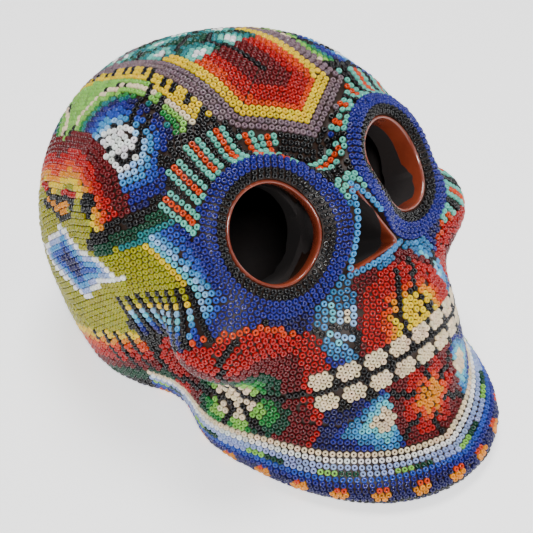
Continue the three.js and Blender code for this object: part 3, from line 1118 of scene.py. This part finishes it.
def lay_out(mesh, count, faces_each):
    """Each bead gets one small square of the texture space to itself."""
    cells = int(math.ceil(math.sqrt(count)))
    bead = np.arange(count)
    low = np.stack([bead % cells, bead // cells], -1) / cells
    corner = np.array([[0.2, 0.2], [0.8, 0.2], [0.8, 0.8], [0.2, 0.8]]) / cells
    grid = low[:, None, None, :] + corner[None, None]
    grid = np.broadcast_to(grid, (count, faces_each, 4, 2))
    store(mesh.uv_layers.new(name="OFBake").data, "uv", grid)


# ------------------------------------------------------------------ materials
def new_material(name, roughness, specular):
    """A material with its node tree and its shader."""
    material = bpy.data.materials.new(name)
    material.use_nodes = True
    shader = material.node_tree.nodes["Principled BSDF"]
    shader.inputs["Roughness"].default_value = roughness
    shader.inputs["Specular IOR Level"].default_value = specular
    return material, material.node_tree, shader


def object_noise(tree, scale, detail):
    """Noise fixed to the object's own space."""
    place = tree.nodes.new("ShaderNodeTexCoord")
    noise = tree.nodes.new("ShaderNodeTexNoise")
    noise.inputs["Scale"].default_value = scale
    noise.inputs["Detail"].default_value = detail
    tree.links.new(place.outputs["Object"], noise.inputs["Vector"])
    return noise


def blend_colours(tree, factor, first, second):
    """A blend between two colours, driven by a factor."""
    stops = tree.nodes.new("ShaderNodeValToRGB")
    stops.color_ramp.elements[0].position = 0.3
    stops.color_ramp.elements[1].position = 0.7
    stops.color_ramp.elements[0].color = (*first, 1)
    stops.color_ramp.elements[1].color = (*second, 1)
    tree.links.new(factor, stops.inputs["Fac"])
    return stops.outputs["Color"]


def bead_material():
    """Opaque pressed glass: each bead has its own tone, a little cloudier in places."""
    material, tree, shader = new_material("bead_glass", 0.14, 0.4)
    tint = tree.nodes.new("ShaderNodeAttribute")
    tint.attribute_name = "bead_colour"
    noise = object_noise(tree, 900.0, 2.0)
    cloud_tone = blend_colours(tree, noise.outputs["Fac"], (0.84, 0.84, 0.84), (1, 1, 1))
    mix = tree.nodes.new("ShaderNodeMix")
    mix.data_type = "RGBA"
    mix.blend_type = "MULTIPLY"
    mix.inputs["Factor"].default_value = 1.0
    tree.links.new(tint.outputs["Color"], mix.inputs["A"])
    tree.links.new(cloud_tone, mix.inputs["B"])
    tree.links.new(mix.outputs["Result"], shader.inputs["Base Color"])
    return material


def mottled_material(name, roughness, specular, noise, dark, light):
    """A material that varies between two colours; its tree, shader and noise come with it."""
    material, tree, shader = new_material(name, roughness, specular)
    patches = object_noise(tree, *noise).outputs["Fac"]
    colour = blend_colours(tree, patches, dark, light)
    tree.links.new(colour, shader.inputs["Base Color"])
    return material, tree, shader, patches


def add_bump(tree, shader, height, strength, depth):
    """Bump on a shader, from a height."""
    bump = tree.nodes.new("ShaderNodeBump")
    bump.inputs["Strength"].default_value = strength
    bump.inputs["Distance"].default_value = depth
    tree.links.new(height, bump.inputs["Height"])
    tree.links.new(bump.outputs["Normal"], shader.inputs["Normal"])


def wax_material():
    """Brown wax, mottled and slightly uneven, and darkened almost to black as painted shade for the
    gaps between the beads.
    """
    material, tree, shader, patches = mottled_material(
        "brown_wax_and_painted_shade", 0.5, 0.3, (260.0, 3.0), (0.010, 0.004, 0.002), (0.026, 0.010, 0.004))
    add_bump(tree, shader, patches, 0.4, 0.0003)
    return material


def clay_material(name, dark, light, roughness, varnish):
    """Clay under a varnish that pools darker in places."""
    material, tree, shader, _ = mottled_material(name, roughness, 0.5, (60.0, 4.0), dark, light)
    add_bump(tree, shader, object_noise(tree, 420.0, 5.0).outputs["Fac"], 0.35, 0.0005)
    shader.inputs["Coat Weight"].default_value = varnish
    shader.inputs["Coat Roughness"].default_value = 0.12
    return material


def floor_material():
    """The pale floor, which glows a little so that it stays pale."""
    material, _, shader, _ = mottled_material(
        "pale_floor", 0.8, 0.1, (3.0, 3.0), (0.90, 0.90, 0.90), (0.92, 0.92, 0.92))
    shader.inputs["Emission Color"].default_value = (1, 1, 1, 1)
    shader.inputs["Emission Strength"].default_value = 1.0
    return material


# ------------------------------------------------------------------ the shells
def relax(points, edges, level, rounds):
    """Even the vertices out over a level surface, so that no face bridges a hollow."""
    degree = np.bincount(edges.ravel(), minlength=len(points))[:, None]
    for _ in range(rounds):
        total = np.zeros_like(points)
        np.add.at(total, edges[:, 0], points[edges[:, 1]])
        np.add.at(total, edges[:, 1], points[edges[:, 0]])
        points = settle((points + total / degree) / 2, level, 1)
    return points


def level_surface(name, level, splits, rounds=0):
    """A closed surface at a level below the beads' tops, as a Blender object."""
    mesh = bpy.data.meshes.new(name)
    shape = bmesh.new()
    bmesh.ops.create_icosphere(shape, subdivisions=splits, radius=1.0)
    shape.to_mesh(mesh)
    shape.free()
    count = len(mesh.vertices)
    ray = np.empty(count * 3, np.float32)
    mesh.vertices.foreach_get("co", ray)
    ray = unit(ray.reshape(-1, 3).astype(float))
    edges = np.empty(len(mesh.edges) * 2, np.int32)
    mesh.edges.foreach_get("vertices", edges)
    near = np.zeros(count)
    far = np.full(count, 170.0)
    for _ in range(24):
        middle = (near + far) / 2
        within = distance(SHELL_CENTRE + ray * middle[:, None]) < level
        near = np.where(within, middle, near)
        far = np.where(within, far, middle)
    points = relax(SHELL_CENTRE + ray * near[:, None], edges.reshape(-1, 2), level, rounds)
    store(mesh.vertices, "co", to_frame(points))
    store(mesh.polygons, "use_smooth", np.ones(len(mesh.polygons)), bool)
    mesh.update()
    return add_object(name, mesh)


def fix_outward(thing):
    """Turn every face of a closed solid outwards."""
    shape = bmesh.new()
    shape.from_mesh(thing.data)
    bmesh.ops.recalc_face_normals(shape, faces=shape.faces)
    shape.to_mesh(thing.data)
    shape.free()


def loft(name, loops, ring=False):
    """A solid through matching loops: capped at both ends, or closed on itself as a ring."""
    count = len(loops[0])
    step = np.arange(count)
    after = (step + 1) % count
    starts = np.arange(len(loops)) * count
    faces = [] if ring else [step[::-1].tolist(), (starts[-1] + step).tolist()]
    for low, high in zip(starts, np.roll(starts, -1) if ring else starts[1:]):
        faces += np.stack([low + step, low + after, high + after, high + step], -1).tolist()
    mesh = bpy.data.meshes.new(name)
    mesh.from_pydata(to_frame(np.vstack(loops)).tolist(), [], faces)
    mesh.update()
    store(mesh.polygons, "use_smooth", np.full(len(faces), ring), bool)
    thing = add_object(name, mesh)
    fix_outward(thing)
    return thing


def nose_loop(extra, back, corner=2.2):
    """The nose opening's outline with rounded corners, at one depth."""
    corners = np.array(NOSE_CORNERS, float)
    middle = corners.mean(0)
    corners = middle + (corners - middle) * (1 + extra / 7.5)
    outline = []
    for index in range(3):
        here = corners[index]
        before = unit(corners[index - 1] - here)
        after = unit(corners[(index + 1) % 3] - here)
        for share in np.linspace(0, 1, 9):
            first = here + before * corner
            last = here + after * corner
            curve = (1 - share) ** 2 * first + 2 * share * (1 - share) * here + share ** 2 * last
            outline.append([curve[0], back, curve[1]])
    return np.array(outline)


def cutters(extra):
    """Solids that open the eyes and the nose."""
    solids = []
    for which in (-1, 1):
        centre, axis, spoke = eye_spokes(which, 96, extra)
        solids.append(loft("cut_eye", [centre + spoke + axis * 14, centre + spoke - axis * 26]))
    solids.append(loft("cut_nose", [nose_loop(extra, -40.0), nose_loop(extra, 14.0)]))
    return solids


def cut(target, tools):
    """Cut solids out of a target and remove them."""
    for tool in tools:
        modifier = target.modifiers.new("cut", "BOOLEAN")
        modifier.operation = "DIFFERENCE"
        modifier.solver = "EXACT"
        modifier.object = tool
    bpy.context.view_layer.update()
    graph = bpy.context.evaluated_depsgraph_get()
    mesh = bpy.data.meshes.new_from_object(target.evaluated_get(graph))
    target.modifiers.clear()
    old = target.data
    target.data = mesh
    bpy.data.meshes.remove(old)
    for tool in tools:
        bpy.data.objects.remove(tool)


def soften_edges(thing, angle=40):
    """Smooth shading, with true edges kept sharp."""
    for polygon in thing.data.polygons:
        polygon.use_smooth = True
    thing.data.set_sharp_from_angle(angle=math.radians(angle))


def lip_section(depth):
    """The lip's section, point by point: how far outside the opening, how far below the beads."""
    return ((1.2, 2.2), (1.15, 0.9), (0.7, 0.45), (0.2, 0.6), (0.0, 1.5), (0.05, depth),
            (0.5, depth + 1.2), (1.6, depth + 1.5))


def eye_lip(which, depth):
    """The rolled clay edge that shows inside each eye, from the beads inwards."""
    count = 120
    centre, axis, spoke = eye_spokes(which, count)
    edge = cast(centre + spoke * 1.065, -axis, 30.0)
    height = (edge - centre) @ axis
    slow = np.abs(np.fft.fftfreq(count, 1 / count)) < 6
    smooth = np.real(np.fft.ifft(np.fft.fft(height) * slow))
    loops = []
    for out, sink in lip_section(depth):
        loops.append(centre + spoke * (1 + out / EYE_MEAN) + axis * (smooth - sink)[:, None])
    return loft("eye_lip", loops, ring=True)


def nose_lip(depth):
    """The same edge round the nose opening."""
    edge = cast(nose_loop(1.0, -30.0), (0, 1, 0))
    loops = []
    for out, sink in lip_section(depth):
        ring = nose_loop(out, 0.0)
        ring[:, 1] = edge[:, 1] + sink
        loops.append(ring)
    return loft("nose_lip", loops, ring=True)


def dress(piece, material, slot, nodes=()):
    """Give a piece its material and the nodes that it replaces; the slot is not used."""
    piece.data.materials.clear()
    piece.data.materials.append(material)
    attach(piece, "root")
    if nodes:
        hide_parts(*nodes)


def build_shells():
    """The wax coat, the clay skull under it, and the clay lips of the openings."""
    wax = level_surface("wax_coat", WAX_TOP, 6, 14)
    inner = level_surface("wax_inner", WAX_BOTTOM, 5)
    cut(wax, [inner] + cutters(WAX_OPENING))
    soften_edges(wax)
    dress(wax, wax_material(), "wax", ["wax_bed"])
    clay = level_surface("clay_skull", CLAY_TOP, 6, 14)
    hollow = level_surface("clay_hollow", CLAY_BOTTOM, 5)
    cut(clay, [hollow] + cutters(0.0))
    soften_edges(clay)
    # The skull's clay is set near black: painted shade for the dark inside of the hollow, seen
    # through the eyes and nose.
    shade_black_clay = clay_material("clay_painted_black_as_shade", (0.004, 0.002, 0.002), (0.008, 0.004, 0.003), 0.9, 0.0)
    dress(clay, shade_black_clay, "clay", ["clay_shell"])
    varnished = ((0.120, 0.017, 0.008), (0.230, 0.042, 0.018))
    glaze = clay_material("varnished_clay", *varnished, 0.25, 0.5)
    for which, name in ((-1, "right"), (1, "left")):
        lip = eye_lip(which, LIP_DEPTHS[name])
        lip.name = "eye_lip_" + name
        dress(lip, glaze, "clay")
    dress(nose_lip(LIP_DEPTHS["nose"]), glaze, "clay")


# ------------------------------------------------------------------ beads, region by region
def split_groups(points):
    """Names and masks of the pieces that the beads are gathered into."""
    x, y, z = points.T
    flat = table_height(points)
    right = x < 0
    groups = []
    left_over = np.ones(len(points), bool)

    def take(name, where, slot, nodes):
        """Gather the beads of one region that no earlier region took."""
        nonlocal left_over
        mask = where & left_over
        left_over = left_over & ~mask
        groups.append((name, mask, slot, nodes))

    teeth = [f"{row}_tooth_{i + 1}" for row in ("upper", "lower") for i in range(9)]
    take("beads_sole_right", (flat < 1.6) & right, "beads_blue", ["sole"])
    take("beads_sole_left", (flat < 1.6) & ~right, "beads_blue", [])
    band = (y < 52) & (flat < 16) & (z < -40)
    take("beads_jaw_band", band, "beads_cream", ["jaw_band", "jaw_white_rows"])
    take("beads_teeth", (z > -57) & (z < -39) & (y < 6) & (np.abs(x) < 39), "beads_cream",
         teeth + ["gum_line"])
    take("beads_chin", (z < -50) & (y < 30), "beads_red",
         ["chin_flower", "chin_triangle_right", "chin_triangle_left"])
    take("beads_lip_and_nose", (np.abs(x) < 22) & (y < 10) & (z < 8), "beads_red",
         ["lip_sun", "nose_edge"])
    for name, where in (("right", right), ("left", ~right)):
        take(f"beads_cheek_{name}", where & (z < -16) & (y < 62), "beads_red",
             [f"cheek_flower_{name}"])
        take(f"beads_eye_{name}", where & (z < 27) & (y < 14), "beads_blue",
             [f"eye_rim_{name}", f"eye_ring_{name}", f"under_eye_{name}", f"brow_rays_{name}"])
        take(f"beads_bird_{name}", where & (z < 44) & (y < 82) & (np.abs(x) > 42), "beads_olive",
             [f"bird_panel_{name}"])
    take("beads_forehead", (y < 34), "beads_red",
         ["forehead_shield", "shield_border", "brow_middle"])
    for name, where in (("right", right), ("left", ~right)):
        take(f"beads_crown_{name}", where & (y < 80) & (z > 20), "beads_green",
             [f"crown_band_{name}", f"temple_diamond_{name}"]
             + (["crown"] if name == "right" else []))
        take(f"beads_back_{name}", where & (z > 0), "beads_olive",
             ["back_of_head"] if name == "right" else [])
        take(f"beads_nape_{name}", where, "beads_olive", [])
    return groups


def lay_beads():
    """Lay, fill, colour and group every bead."""
    rows = Rows()
    outer = lay_eyes(rows)
    lay_nose(rows)
    lay_teeth(rows)
    flowers = lay_band(rows)
    for name, outset, limit in (("yellow", -1.0, 66), ("mauve", 1.0, 88), ("mauve", 2.92, 88)):
        lay_outline(rows, SHIELD, name, outset, limit)
    lay_rays(rows, outer, shield_keep)
    lay_comb(rows)
    free = fill(rows)
    fixed = np.array(rows.points)
    points = np.vstack([fixed, free])
    codes = np.r_[np.array(rows.codes), paint(free)]
    if len(flowers):
        away = np.linalg.norm(points[:, None] - flowers[None], axis=-1)
        close = away.min(1)
        codes = np.where(close < 2.9, CODE["amber"], codes)
        top = (points[:, None] - flowers[None])[np.arange(len(points)), away.argmin(1)]
        codes = np.where((close < 2.9) & (close > 0.8) & (top[:, 2] > 1.0), CODE["orange"], codes)
    normals = unit(gradient(points))
    two = nearest(points, points, 2)[:, 1]
    gap = np.linalg.norm(points - points[two], axis=1)
    tint = np.array([PALETTE[name] for name in NAMES])[codes]
    shade = RANDOM.normal(1.0, 0.09, (len(points), 1)) + RANDOM.normal(0, 0.03, (len(points), 3))
    colours = np.clip(tint * shade, 0.004, 0.95)
    wide = np.clip(RANDOM.normal(1.0, 0.025, len(points)), 0.93, 1.06)
    wide = np.minimum(wide, gap / (2 * BEAD_RADIUS) * 1.02)
    tall = np.clip(RANDOM.normal(1.0, 0.07, len(points)), 0.85, 1.12)
    sizes = np.stack([wide, tall], -1)
    tilts = RANDOM.normal(0, 0.075, points.shape)
    points = points + normals * RANDOM.normal(-0.06, 0.08, (len(points), 1))
    glass = bead_material()
    for name, mask, slot, nodes in split_groups(points):
        if not mask.any():
            continue
        beads = [values[mask] for values in (points, normals, colours, sizes, tilts)]
        dress(bead_mesh(name, *beads), glass, slot, nodes)
        print("beads", name, int(mask.sum()))
    print("beads in all", len(points), "laid in rows", len(fixed))


# ------------------------------------------------------------------ floor, light and camera
def stage():
    """Floor, daylight and three soft lamps."""
    bpy.ops.mesh.primitive_plane_add(size=6, location=(0, 0, 0))
    floor = bpy.context.object
    floor.name = "floor"
    floor.data.materials.append(floor_material())
    world = bpy.data.worlds.new("studio")
    world.use_nodes = True
    background = world.node_tree.nodes["Background"]
    background.inputs["Color"].default_value = (1, 1, 1, 1)
    background.inputs["Strength"].default_value = WORLD_LIGHT
    bpy.context.scene.world = world
    for name, place, size, power in LAMPS:
        light = bpy.data.lights.new(name, "AREA")
        light.energy = power
        light.size = size
        lamp = add_object(name, light)
        lamp.location = place
        aim = Vector((0, 0, 0.05)) - Vector(place)
        lamp.rotation_euler = aim.to_track_quat("-Z", "Y").to_euler()


def camera():
    """The camera, which looks down at the skull from its right."""
    target = Vector((0, 0.030 - EYE_FORWARD / 1000, -0.020 + EYE_HEIGHT / 1000))
    flat = math.cos(CAMERA_ELEVATION)
    away = Vector((math.sin(CAMERA_AZIMUTH) * flat, -math.cos(CAMERA_AZIMUTH) * flat,
                   math.sin(CAMERA_ELEVATION)))
    place = target + away * CAMERA_DISTANCE
    data = bpy.data.cameras.new("camera")
    data.sensor_fit = "HORIZONTAL"
    data.angle = CAMERA_FIELD
    eye = add_object("camera", data)
    eye.location = place
    look = (-away).to_track_quat("-Z", "Y").to_matrix()
    eye.rotation_euler = (look @ Matrix.Rotation(-CAMERA_DROP, 3, "X")).to_euler()
    bpy.context.scene.camera = eye


camera()
stage()
build_shells()
lay_beads()
